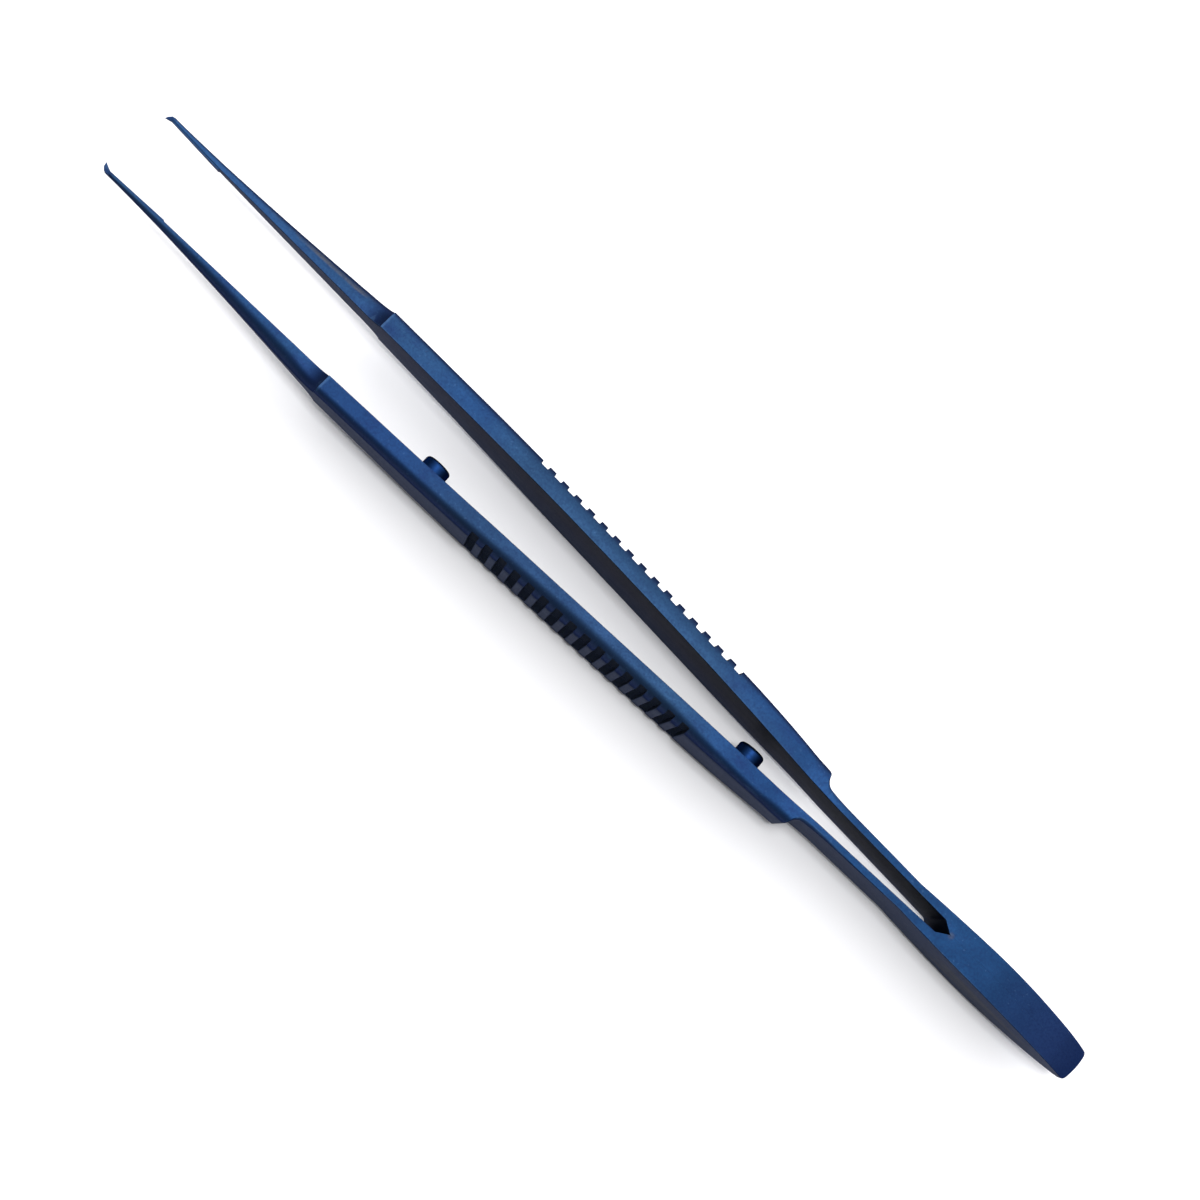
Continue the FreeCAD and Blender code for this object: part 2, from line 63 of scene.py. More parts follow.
MM = 0.001
REAR_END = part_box("pin_side_tail_half")[0][0]
MID_HEIGHT = (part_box("pin_side_arm")[0][2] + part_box("pin_side_arm")[1][2]) / 2
OVERALL_LENGTH = (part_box("pin_side_arm")[1][0] - REAR_END) / MM
GRIP_HALF_WIDTH = MID_HEIGHT / MM

# Points of a half section on its flat inner and outer faces
INNER_FACE_POINTS = 7
OUTER_FACE_POINTS = 4

# Tips and teeth
PLAIN_ARM_SETBACK = 1.15
PLAIN_TOOTH_REACH = 0.58
PLAIN_TOOTH_HEIGHT = 0.22
PLAIN_TOOTH_HALF_WIDTH = 0.12
PIN_SIDE_TOOTH_REACH = 0.6
PIN_SIDE_TOOTH_HEIGHT = 0.34
PIN_SIDE_TOOTH_INNER_Z = 0.14
PIN_SIDE_TOOTH_OUTER_Z = 0.34

# Roughness of the clear oxide film over the metal
FILM_ROUGHNESS = 0.35

Profile = Callable[[float], float]
Colour = tuple[float, float, float]
Face = tuple[int, ...]
Inputs = Mapping[Union[str, int], Any]


class Side(Enum):
    """Which arm: the one that carries the stop pins, towards +Y, or the plain one."""

    PIN = 1
    PLAIN = -1


def in_row(points: np.ndarray) -> np.ndarray:
    """Turn places in millimetres into points of the row's frame.

    Args:
        points: An array of (place, y, z) rows.

    Returns:
        The same points in metres.
    """
    return points * MM + np.array([REAR_END, 0.0, MID_HEIGHT])


def smooth_through(knots: Sequence[tuple[float, float]]) -> Profile:
    """Make a smooth curve through a few knots, with no swing beyond them.

    Args:
        knots: (place, value) pairs in order of place.

    Returns:
        A function of place, level beyond the first and the last knot.
    """
    x = [knot[0] for knot in knots]
    y = [knot[1] for knot in knots]
    rises = [(y[i + 1] - y[i]) / (x[i + 1] - x[i]) for i in range(len(x) - 1)]
    slopes = [rises[0]]
    for before, after in zip(rises, rises[1:]):
        slopes.append(0.0 if before * after <= 0 else 2 * before * after / (before + after))
    slopes.append(rises[-1])

    def value(place: float) -> float:
        """Value of the curve at a place."""
        if place <= x[0]:
            return y[0]
        if place >= x[-1]:
            return y[-1]
        i = int(np.searchsorted(x, place, side="right")) - 1
        run = x[i + 1] - x[i]
        t = (place - x[i]) / run
        return (
            y[i] * (1 + 2 * t) * (1 - t) ** 2
            + slopes[i] * run * t * (1 - t) ** 2
            + y[i + 1] * t * t * (3 - 2 * t)
            - slopes[i + 1] * run * t * t * (1 - t)
        )

    return value


def stepped(start: float, end: float, step: float) -> list[float]:
    """Even steps from start up to, but not with, end."""
    count = max(1, round((end - start) / step))
    return [start + (end - start) * i / count for i in range(count)]


@dataclass(frozen=True)
class ArmForm:
    """Shape of one half of the forceps, from its tail to its tip, in millimetres."""

    bow_radius: float = 1500.0
    bow_crown_half_gap: float = 3.14
    grip_thickness: float = 1.86
    tail_half_thickness: float = 1.5
    tail_end_drop: float = 0.18
    tail_drop_length: float = 1.5
    tail_corner_radius: float = 0.3
    tail_crown_radius: float = 215.0
    tail_crown_end: float = 20.5
    slot_place: float = 16.0
    slot_nose_length: float = 1.1
    slot_half_width: float = 0.66
    leaf_thickness: float = 0.64
    leaf_end: float = 30.0
    shoulder_foot: float = 30.98
    shoulder_foot_radius: float = 0.95
    shoulder_top_radius: float = 0.35
    shoulder_slope: float = 75.0
    grip_end: float = 84.3
    sweep_step: float = 0.22
    sweep_step_length: float = 0.05
    sweep_length: float = 2.8
    neck_end: float = 87.3
    platform_start: float = OVERALL_LENGTH - 6.8
    platform_rise: float = 0.1
    platform_half_width: float = 0.42
    closing_angle: float = 2.2
    closed_clearance: float = 0.06
    inner_edge_break: float = 0.05
    foot_swell: float = 0.1
    foot_swell_start: float = 27.5
    widest_place: float = 53.0
    platform_edge: float = 0.06
    shank_rounding_share: float = 0.8
    rounding_blend_length: float = 4.0
    least_edge: float = 0.004
    least_outer_edge: float = 0.02
    strip_edge: float = 0.015
    nose_width: Profile = smooth_through([
        (0.0, 0.33), (1.2, 1.1), (3.0, 2.0), (6.15, 3.02), (8.2, 3.5), (11.5, 3.85),
        (14.5, 3.7), (20.5, 3.4), (33.0, 3.12), (36.0, 3.45), (40.0, 3.92), (45.5, 4.3),
        (50.0, GRIP_HALF_WIDTH)])
    front_width: Profile = smooth_through([
        (57.0, GRIP_HALF_WIDTH), (64.0, 4.16), (70.3, 3.62), (76.4, 3.06), (80.6, 2.74), (84.3, 2.4)])
    shank_width: Profile = smooth_through([
        (86.0, 1.52), (88.6, 1.4), (92.8, 1.17), (97.2, 0.95), (103.2, 0.55), (108.9, 0.36),
        (110.0, 0.33)])
    shank_thickness: Profile = smooth_through([
        (84.3, 1.86), (88.6, 1.58), (91.0, 1.39), (97.2, 0.95), (103.3, 0.6), (109.0, 0.3),
        (110.0, 0.28)])
    grip_rounding: Profile = smooth_through([
        (31.0, 0.9), (33.0, 0.95), (35.5, 0.7), (40.0, 0.9), (46.0, 1.3), (55.0, 1.4),
        (62.0, 1.25), (68.0, 1.0), (76.0, 0.85), (84.3, 0.7)])
    swell_end: float = 70.0
    grip_swell: Profile = smooth_through([(34.0, 0.0), (42.0, 0.08), (70.0, 0.08), (82.0, 0.0)])
    edge_easing: Profile = smooth_through([
        (0.0, 0.07), (22.0, 0.07), (27.0, 0.14), (30.5, 0.3), (34.0, 0.3), (40.0, 0.12),
        (110.0, 0.07)])

    def bow(self, place: float) -> float:
        """Half gap of the long bow that the inner faces follow."""
        return self.bow_crown_half_gap - self.bow_radius + math.sqrt(
            self.bow_radius ** 2 - (OVERALL_LENGTH - place) ** 2)

    @property
    def bow_centre(self) -> np.ndarray:
        """Centre of the long bow, as (place, y, z)."""
        return np.array([OVERALL_LENGTH, self.bow_crown_half_gap - self.bow_radius, 0.0])

    @property
    def face_radius(self) -> float:
        """Radius of the grip's outer face where the grooves are."""
        return self.bow_radius + self.grip_thickness + self.grip_swell(self.swell_end)

    @property
    def slot_corner(self) -> float:
        """Place where the slot reaches its full width."""
        return self.slot_place + self.slot_nose_length

    def leaf_inner(self, place: float) -> float:
        """Half gap of the spring leaf's straight inner face."""
        share = (place - self.slot_corner) / (self.leaf_end - self.slot_corner)
        return self.slot_half_width + (self.bow(self.leaf_end) - self.slot_half_width) * share

    def platform(self, place: float) -> float:
        """Half gap of the tying platform, level once the arm has closed about its leaf."""
        flexure = (self.slot_corner + self.leaf_end) / 2
        axis = self.leaf_inner(flexure) + self.leaf_thickness / 2
        closing = math.radians(self.closing_angle)
        reach = (place - flexure) * math.sin(closing)
        return axis + (self.closed_clearance / 2 - axis + reach) / math.cos(closing)

    def inner(self, place: float) -> float:
        """Half gap of the inner face: slot, leaf, bow and shank."""
        if place <= self.slot_place:
            return 0.0
        if place < self.slot_corner:
            return self.slot_half_width * (place - self.slot_place) / self.slot_nose_length
        if place < self.leaf_end:
            return self.leaf_inner(place)
        if place < self.neck_end:
            return self.bow(place)
        end = self.platform(self.platform_start) + self.platform_rise
        if place < self.platform_start:
            share = (place - self.neck_end) / (self.platform_start - self.neck_end)
            return self.bow(self.neck_end) + (end - self.bow(self.neck_end)) * share
        return self.platform(place) + self.platform_rise

    def tail_outer(self, place: float) -> float:
        """Crowned outer face of the tail, with the rounded corner at its end."""
        end = self.leaf_inner(self.tail_crown_end) + self.leaf_thickness
        middle = self.tail_crown_end / 2
        level = self.tail_half_thickness + (end - self.tail_half_thickness) * place / self.tail_crown_end
        crown = math.sqrt(self.tail_crown_radius ** 2 - (place - middle) ** 2)
        outer = level + crown - math.sqrt(self.tail_crown_radius ** 2 - middle ** 2)
        if place < self.tail_corner_radius:
            short = self.tail_corner_radius - place
            outer -= self.tail_corner_radius - math.sqrt(self.tail_corner_radius ** 2 - short ** 2)
        return outer

    def shoulder_steps(self) -> list[float]:
        """Places across the rear shoulder, close together on its two curves."""
        slope = math.radians(self.shoulder_slope)
        foot_steps, top_steps, straight_steps = 12, 8, 3
        foot_end = self.shoulder_foot + self.shoulder_foot_radius * math.sin(slope)
        places = [self.shoulder_foot + self.shoulder_foot_radius * math.sin(slope * i / foot_steps)
                  for i in range(foot_steps + 1)]
        top_end = self.shoulder_top_end
        top_start = top_end - self.shoulder_top_radius * math.sin(slope)
        places += [foot_end + (top_start - foot_end) * i / straight_steps
                   for i in range(1, straight_steps)]
        places += [top_end - self.shoulder_top_radius * math.sin(slope * i / top_steps)
                   for i in range(top_steps, -1, -1)]
        return places

    @property
    def shoulder_top_end(self) -> float:
        """Place where the rear shoulder runs out into the grip's outer face."""
        slope = math.radians(self.shoulder_slope)
        curved = (self.shoulder_foot_radius + self.shoulder_top_radius) * (1 - math.cos(slope))
        straight = self.grip_thickness - self.leaf_thickness - self.foot_swell - curved
        run = (self.shoulder_foot_radius + self.shoulder_top_radius) * math.sin(slope)
        return self.shoulder_foot + run + straight / math.tan(slope)

    def outer(self, place: float) -> float:
        """Outer face of the whole half before the rounding of its edges."""
        if place < self.tail_crown_end:
            return self.tail_outer(place)
        swollen = (place - self.foot_swell_start) / (self.shoulder_foot - self.foot_swell_start)
        swell = min(1.0, max(0.0, swollen))
        leaf = self.inner(place) + self.leaf_thickness + self.foot_swell * swell ** 2
        if place <= self.shoulder_foot:
            return leaf
        if place >= self.shoulder_top_end:
            return self.inner(place) + self.bar_thickness(place)
        slope = math.radians(self.shoulder_slope)
        from_foot = place - self.shoulder_foot
        foot_run = self.shoulder_foot_radius * math.sin(slope)
        if from_foot <= foot_run:
            radius = self.shoulder_foot_radius
            return leaf + radius - math.sqrt(radius ** 2 - from_foot ** 2)
        to_top = self.shoulder_top_end - place
        top = self.inner(place) + self.bar_thickness(place)
        if to_top <= self.shoulder_top_radius * math.sin(slope):
            radius = self.shoulder_top_radius
            return top - radius + math.sqrt(radius ** 2 - to_top ** 2)
        foot_rise = self.shoulder_foot_radius * (1 - math.cos(slope))
        return leaf + foot_rise + (from_foot - foot_run) * math.tan(slope)

    def bar_thickness(self, place: float) -> float:
        """Thickness of the grip, and of the shank that tapers from it."""
        if place < self.grip_end:
            return self.grip_thickness + self.grip_swell(place)
        return self.shank_thickness(place)

    def half_width(self, place: float) -> float:
        """Half of the width across the half, along z."""
        if place <= self.widest_place:
            return self.nose_width(place)
        if place <= self.grip_end:
            return self.front_width(place)
        swept = (place - self.grip_end) / self.sweep_length
        if swept < 1:
            step = self.sweep_step * min(1.0, (place - self.grip_end) / self.sweep_step_length)
            throat = self.shank_width(self.grip_end + self.sweep_length)
            drop = self.front_width(self.grip_end) - throat - self.sweep_step
            return self.front_width(self.grip_end) - step - drop * (1 - (1 - swept) ** 4)
        return self.shank_width(place)

    def rounding(self, place: float) -> float:
        """Radius of the two outer edges of the grip and the shank."""
        if place <= self.grip_end:
            return self.grip_rounding(place)
        slim = self.shank_rounding_share * min(self.shank_width(place), self.shank_thickness(place))
        blend = min(1.0, (place - self.grip_end) / self.rounding_blend_length)
        return self.grip_rounding(self.grip_end) * (1 - blend) + slim * blend

    def places(self, end: float) -> list[float]:
        """Places of the cross-sections, close together where the shape turns quickly."""
        corner = [self.tail_corner_radius * (1 - math.cos(math.radians(a))) for a in range(10, 91, 10)]
        sweep = [self.grip_end + self.sweep_step_length * (1 + i) for i in range(5)]
        sweep += stepped(self.grip_end + 0.35, self.grip_end + self.sweep_length, 0.14)
        platform_rear = self.platform_start - self.platform_edge
        return (
            [0.0] + corner
            + stepped(0.5, 3.0, 0.25)
            + stepped(3.0, self.slot_place - 0.05, 0.6)
            + stepped(self.slot_place - 0.05, self.slot_corner + 0.1, 0.1)
            + stepped(self.slot_corner + 0.1, self.shoulder_foot, 0.4)
            + self.shoulder_steps()
            + stepped(self.shoulder_top_end + 0.2, self.grip_end - 0.1, 0.5)
            + [self.grip_end - 0.1, self.grip_end - 0.03, self.grip_end] + sweep
            + stepped(self.grip_end + self.sweep_length + 0.1, platform_rear, 0.35)
            + [self.platform_start + self.platform_edge * side for side in (-1, 0, 1)]
            + stepped(self.platform_start + 0.2, end, 0.25)
            + [end]
        )

    def rise(self, place: float) -> float:
        """How far the tying platform stands above the shank's inner face."""
        share = (place - self.platform_start + self.platform_edge) / (2 * self.platform_edge)
        return self.platform_rise * min(1.0, max(0.0, share))

    def section(self, place: float) -> np.ndarray:
        """Upper half of the cross-section, from the inner face round to the outer one.

        Args:
            place: Where the section is taken.

        Returns:
            Rows of (y, z), from z = 0 on the inner face to z = 0 on the outer face.
        """
        width = self.half_width(place)
        inner = self.inner(place)
        outer = self.outer(place)
        bar = max(inner + self.bar_thickness(place), outer)
        if place < self.shoulder_top_end:
            bar = max(bar, self.bow(self.shoulder_top_end) + self.grip_thickness)
        opened = min(1.0, inner / self.slot_half_width)
        thickness = outer - inner
        inner_break = max(self.least_edge, min(self.inner_edge_break, 0.2 * thickness) * opened)
        outer_break = max(self.least_outer_edge,
                          min(self.edge_easing(place), 0.45 * thickness, 0.25 * width))
        radius = self.rounding(place)

        # Up the side and round the edge of the whole bar, as far as the level it is cut to
        foot = inner + inner_break
        straight = bar - radius - foot
        if outer <= bar - radius:
            length = outer - foot
        else:
            length = straight + radius * math.asin(min(1.0, (outer - bar + radius) / radius))

        def along(distance: float) -> tuple[float, float]:
            """Point at a distance up the side and round the edge."""
            if distance <= straight:
                return foot + distance, width
            angle = (distance - straight) / radius
            return bar - radius + radius * math.sin(angle), width - radius + radius * math.cos(angle)

        def eased(start: tuple, corner: tuple, end: tuple) -> list[tuple]:
            """Three steps round a broken edge, from start to end."""
            return [tuple((1 - t) ** 2 * a + 2 * t * (1 - t) * c + t * t * b
                          for a, c, b in zip(start, corner, end)) for t in (1 / 3, 2 / 3, 1)]

        strip = min(self.platform_half_width, 0.8 * (width - inner_break))
        raised = inner - self.rise(place)
        flat = width - inner_break
        points = [(raised, 0.0), (raised, 0.6 * strip), (raised, strip)]
        points.append((inner, min(strip + self.strip_edge, 0.9 * flat)))
        points += [(inner, strip + (flat - strip) * share) for share in (0.5, 0.93, 1.0)]
        points += eased((inner, flat), (inner, width), (foot, width))
        curved = max(length - straight, min(0.2, 0.4 * length), outer_break + 0.1)
        plain = length - curved
        points += [along(plain * share) for share in (0.08, 0.5, 0.92)]
        last = max(length - outer_break, plain)
        points += [along(plain + (last - plain) * i / 10) for i in range(11)]
        corner = along(length)
        top_edge = corner[1] - min(outer_break, 0.5 * corner[1])
        points += eased(along(last), corner, (outer, top_edge))
        points += [(outer, top_edge * share) for share in (0.95, 0.7, 0.4, 0.0)]
        return np.array(points)


def new_object(name: str, data: bpy.types.ID) -> bpy.types.Object:
    """Put a mesh, a light or a camera in the scene as an object at the origin."""
    made = bpy.data.objects.new(name, data)
    bpy.context.scene.collection.objects.link(made)
    return made


def closed_object(name: str, vertices: np.ndarray, faces: Sequence[Face]) -> bpy.types.Object:
    """Make an object of a closed form, turned so that its faces point outwards.

    Args:
        name: Name of the object and of its mesh.
        vertices: Points in metres, in the row's frame.
        faces: Corners of each face.

    Returns:
        The object.
    """
    volume = 0.0
    for face in faces:
        for i in range(1, len(face) - 1):
            volume += float(np.dot(vertices[face[0]], np.cross(vertices[face[i]], vertices[face[i + 1]])))
    if volume < 0:
        faces = [tuple(reversed(face)) for face in faces]
    mesh = bpy.data.meshes.new(name)
    mesh.from_pydata([tuple(v) for v in vertices], [], [tuple(face) for face in faces])
    mesh.validate()
    mesh.update()
    return new_object(name, mesh)


def dress(made: bpy.types.Object, finish: bpy.types.Material, smooth_angle: float) -> None:
    """Shade a piece smooth, but for edges sharper than an angle, and give it its finish."""
    made.data.shade_smooth()
    made.data.set_sharp_from_angle(angle=math.radians(smooth_angle))
    made.data.materials.clear()
    made.data.materials.append(finish)


def tube_faces(rings: int, around: int) -> list[Face]:
    """Side faces of a tube of rings."""
    faces: list[Face] = []
    for ring in range(rings - 1):
        base, following = ring * around, (ring + 1) * around
        for i in range(around):
            j = (i + 1) % around
            faces.append((base + i, base + j, following + j, following + i))
    return faces


def loft_faces(rings: int, around: int) -> list[Face]:
    """Faces of a tube of rings, each end closed by strips across z between two fans.

    Args:
        rings: How many rings there are.
        around: Points of a ring, the first and the middle one at z = 0.

    Returns:
        Corners of each face.
    """
    faces = tube_faces(rings, around)
    half = around // 2
    first, last = INNER_FACE_POINTS + 2, half - OUTER_FACE_POINTS - 3
    for start, turn in ((0, 1), ((rings - 1) * around, -1)):
        cap = [(first, around - first, 0), (last, half, around - last)]
        for hub, run in ((first, range(first - 1)), (last, range(last + 1, half))):
            for i in run:
                cap += [(hub, i, i + 1), (around - hub, around - i - 1, (around - i) % around)]
        cap += [(i, i + 1, around - i - 1, around - i) for i in range(first, last)]
        faces += [tuple(start + i for i in (face if turn < 0 else reversed(face))) for face in cap]
    return faces


class NodeGraph:
    """Adds nodes to a tree, each by its type, its settings and its inputs."""

    def __init__(self, tree: bpy.types.NodeTree) -> None:
        """Take the tree and clear it."""
        self.tree = tree
        self.tree.nodes.clear()

    def node(self, kind: str, inputs: Optional[Inputs] = None, **settings: Any) -> bpy.types.Node:
        """Add a node.

        Args:
            kind: Blender's name for the type of node.
            inputs: Values or links of its sockets, by name or place.
            settings: Its properties, which are set first.

        Returns:
            The node.
        """
        made = self.tree.nodes.new(kind)
        for name, value in settings.items():
            setattr(made, name, value)
        for name, value in (inputs or {}).items():
            self.feed(made.inputs[name], value)
        return made

    def feed(self, socket: bpy.types.NodeSocket, value: Any) -> None:
        """Link a socket or set its value."""
        if isinstance(value, Wire):
            value = value.socket
        if isinstance(value, bpy.types.NodeSocket):
            self.tree.links.new(value, socket)
        else:
            socket.default_value = value

    def wire(self, kind: str, inputs: Optional[Inputs] = None, output: Union[str, int] = 0,
             **settings: Any) -> "Wire":
        """Add a node and return one of its outputs."""
        return Wire(self, self.node(kind, inputs, **settings).outputs[output])


Number = Union["Wire", float]


class Wire:
    """A node's output. Where it is a number, Python's operators add Math nodes to it."""

    def __init__(self, graph: NodeGraph, socket: bpy.types.NodeSocket) -> None:
        """Hold the socket and the graph that it belongs to."""
        self.graph = graph
        self.socket = socket

    def math(self, operation: str, *others: Number) -> "Wire":
        """Result of a Math node on this number and others."""
        inputs = dict(enumerate((self, *others)))
        return self.graph.wire("ShaderNodeMath", inputs, operation=operation)

    def __add__(self, other: Number) -> "Wire":
        """Sum."""
        return self.math("ADD", other)

    def __sub__(self, other: Number) -> "Wire":
        """Difference."""
        return self.math("SUBTRACT", other)

    def __rsub__(self, other: float) -> "Wire":
        """Difference from a plain number."""
        return self.graph.wire("ShaderNodeMath", {0: other, 1: self}, operation="SUBTRACT")

    def __mul__(self, other: Number) -> "Wire":
        """Product."""
        return self.math("MULTIPLY", other)

    def __truediv__(self, other: Number) -> "Wire":
        """Quotient."""
        return self.math("DIVIDE", other)

    def __abs__(self) -> "Wire":
        """Size without sign."""
        return self.math("ABSOLUTE")

    def power(self, exponent: float) -> "Wire":
        """This number raised to a power."""
        return self.math("POWER", exponent)

    def step(self, start: float, end: float) -> "Wire":
        """Smooth step from 0 at start to 1 at end, or down where end is the smaller."""
        turned = start > end
        low, high = (end, start) if turned else (start, end)
        return self.graph.wire(
            "ShaderNodeMapRange",
            {"Value": self, "From Min": low, "From Max": high,
             "To Min": float(turned), "To Max": float(not turned)},
            interpolation_type="SMOOTHSTEP")

    def window(self, rise: tuple[float, float], fall: tuple[float, float]) -> "Wire":
        """1 between a step up and a step down, 0 beyond them."""
        return self.step(*rise) * self.step(*fall)


class Surface(NodeGraph):
    """The node graph of a material, with the few patterns that the finishes share."""

    def __init__(self, name: str) -> None:
        """Make an empty material with an output."""
        self.material = bpy.data.materials.new(name)
        self.material.use_nodes = True
        super().__init__(self.material.node_tree)
        self.output = self.node("ShaderNodeOutputMaterial")
        self.coordinates = self.node("ShaderNodeTexCoord")

    def axes(self, output: str) -> tuple[Wire, ...]:
        """The three parts of a coordinate or of the normal."""
        parts = self.node("ShaderNodeSeparateXYZ", {0: self.coordinates.outputs[output]})
        return tuple(Wire(self, part) for part in parts.outputs)

    def noise(self, scale: float, detail: float = 2.0,
              stretch: tuple[float, float, float] = (1.0, 1.0, 1.0), roughness: float = 0.5) -> Wire:
        """Noise over the object.

        Args:
            scale: Cells to a metre.
            detail: Octaves.
            stretch: Factors on the three axes; a small one draws the pattern out.
            roughness: Share of the fine octaves.

        Returns:
            A number about one half.
        """
        placed = self.wire("ShaderNodeMapping",
                           {"Vector": self.coordinates.outputs["Object"], "Scale": stretch},
                           vector_type="POINT")
        return self.wire("ShaderNodeTexNoise",
                         {"Vector": placed, "Scale": scale, "Detail": detail, "Roughness": roughness},
                         noise_dimensions="3D")

    def layers(self, base: Union[Wire, Colour], *coats: tuple[Number, Colour]) -> Wire:
        """Lay coats of colour over a base, one after another.

        Args:
            base: The colour below them.
            coats: Share and colour of each coat.

        Returns:
            The colour that shows.
        """
        shown = (*base, 1.0) if isinstance(base, tuple) else base
        for share, tone in coats:
            shown = self.wire("ShaderNodeMix", {0: share, 6: shown, 7: (*tone, 1.0)}, output=2,
                              data_type="RGBA", clamp_factor=True)
        return shown

    def shaded(self, inputs: Inputs) -> bpy.types.Material:
        """End the material in a Principled shader with these inputs."""
        self.feed(self.output.inputs[0], self.wire("ShaderNodeBsdfPrincipled", inputs))
        return self.material

    def metal(self, colour: Wire, roughness: Wire, bump: Wire, depth: float,
              edge: Colour, film: Number = 0.0) -> bpy.types.Material:
        """End the material in a Principled shader for bare or anodised metal.

        Args:
            colour: Base colour.
            roughness: Roughness.
            bump: Height of the fine relief, about 0 to 1.
            depth: Height of that relief in metres.
            edge: Tint of what the metal mirrors at a grazing angle.
            film: How much of the clear oxide film shows over the colour.

        Returns:
            The material.
        """
        relief = self.wire("ShaderNodeBump", {"Strength": 1.0, "Distance": depth, "Height": bump})
        return self.shaded({"Base Color": colour, "Roughness": roughness, "Metallic": 1.0,
                            "Specular Tint": (*edge, 1.0), "Normal": relief,
                            "Coat Weight": film, "Coat Roughness": FILM_ROUGHNESS})


@dataclass(frozen=True)
class BlastedBlue:
    """Bead-blasted titanium under a blue anodic film, of a darker tone towards the tail's end, with light
    and shade painted into its colour.
    """

    face: Colour = (0.0125, 0.041, 0.119)
    teal: Colour = (0.020, 0.053, 0.114)
    violet: Colour = (0.014, 0.028, 0.104)
    grip_middle_shade: Colour = (0.0165, 0.042, 0.088)
    tail: Colour = (0.0075, 0.0285, 0.077)
    pommel: Colour = (0.0235, 0.0487, 0.1645)
    deep: Colour = (0.008, 0.014, 0.058)
    shade: Colour = (0.024, 0.034, 0.074)
    # pale grey of the tail's streaks, and painted reflection of the plain shank
    grey_streak_and_reflection: Colour = (0.105, 0.10, 0.088)
    # painted highlight of the slender shank
    bright: Colour = (0.024, 0.070, 0.178)
    heat: Colour = (0.06, 0.05, 0.04)
    glint_speck: Colour = (0.05, 0.10, 0.20)
    # painted shade of the side walls
    wall_shade: Colour = (0.036, 0.054, 0.096)
    front_wall_light: Colour = (0.06, 0.075, 0.115)
    # painted shade for the grooves and for the bands along the grip's outward wall
    groove: Colour = (0.028, 0.033, 0.038)
    # wear and painted highlight on the edges
    edge_wear_and_highlight: Colour = (0.05, 0.105, 0.21)
    edge: Colour = (0.22, 0.23, 0.27)
    film: float = 0.12
    roughness: float = 0.54
    grain_depth: float = 0.000006

    def material(self) -> bpy.types.Material:
        """Build the finish of the two halves."""
        graph = Surface("blasted_blue_titanium")
        x, y, z = graph.axes("Object")
        ny, nz = graph.axes("Normal")[1:]
        tilt = abs(nz)
        place = (x - REAR_END) / MM
        side = y.math("SIGN")
        broad = graph.noise(90.0, 3.0, (0.35, 1.0, 1.0))
        mottle = graph.noise(700.0, 4.0, (0.5, 1.0, 1.0), 0.6)
        grain = graph.noise(5200.0, 3.0, roughness=0.6)

        # Tone of the film along the forceps, with painted shade over the middle of the grip, on the grip
        # of the pin-side arm and in the concave sweep at the front shoulder, and a painted highlight
        # towards the tip, brighter on the plain arm
        pin_side = side * 0.5 + 0.5
        front = place.window((44.0, 54.0), (84.4, 84.0))
        slender = place.window((90.0, 103.0), (109.0, 108.3))
        swept = place.window((84.24, 84.36), (87.4, 84.8))
        colour = graph.layers(
            self.face,
            (broad.step(0.38, 0.68) * 0.7, self.teal),
            (mottle.step(0.46, 0.72) * 0.45, self.violet),
            # painted shade over the middle of the grip, evening out a pool of light there
            (place.window((40.0, 47.0), (74.0, 67.0)) * 0.8, self.grip_middle_shade),
            (place.step(34.0, 26.0) * 0.85, self.tail),
            (place.step(13.0, 0.0) * 0.85, self.pommel),
            # painted shade over the grip of the pin-side arm
            (pin_side * front * 0.22, self.deep),
            # painted highlight along the slender shank towards the tip, brighter on the plain arm
            (slender * (0.35 - side * 0.25) * 1.1, self.bright),
            # painted shade in the concave sweep at the front shoulder
            (swept * 0.6, self.deep))

        # Painted shade on the rounded edges and the side walls, which turn away from the light above,
        # painted light on the walls towards the front shoulder, painted shade in bands along the top and
        # bottom of the grip's outward wall, and pale grey streaks on the sides of the tail
        wall = tilt.step(0.2, 0.06)
        outward = (side * ny).step(0.3, 0.6)
        near_edge = (abs(z - MID_HEIGHT) / MM).step(2.0, 3.1)
        # painted shade in bands along the top and bottom of the grip's outward wall
        edge_band_shade = near_edge * outward * place.window((31.0, 34.0), (84.3, 78.0)) * wall
        streaks = graph.noise(420.0, 5.0, (0.12, 1.0, 1.0), 0.65).step(0.46, 0.62)
        tail_side = place.window((1.5, 4.0), (17.0, 13.0)) * wall
        colour = graph.layers(
            colour,
            # painted shade on the rounded edges, darker as the surface turns away from facing up
            (tilt.step(0.985, 0.5) * 0.92, self.shade),
            # painted shade on the side walls
            (wall * 0.95, self.wall_shade),
            # painted light on the side walls towards the front shoulder
            (wall * place.window((66.0, 84.0), (88.0, 85.0)) * 0.6, self.front_wall_light),
            # painted shade along the edges of the outward wall
            (edge_band_shade * 0.3, self.groove),
            (streaks * tail_side * 0.55, self.grey_streak_and_reflection))

        # Heat tint by the nose of the slot, painted shade in the grooves, and dark teeth
        from_nose = (place - 15.9).power(2.0) + (y / MM).power(2.0)
        sunk = graph.wire("ShaderNodeAttribute", output="Fac", attribute_name="groove_depth")
        # floors and sides of the grooves, where shade is painted
        cut = sunk.step(0.03, 0.2) * tilt.step(0.4, 0.25)
        colour = graph.layers(
            colour,
            (from_nose.step(0.14, 0.0) * 0.3, self.heat),
            # painted shade in the grooves
            (cut * 0.88, self.groove),
            (place.step(108.5, 109.1) * 0.6, self.deep))

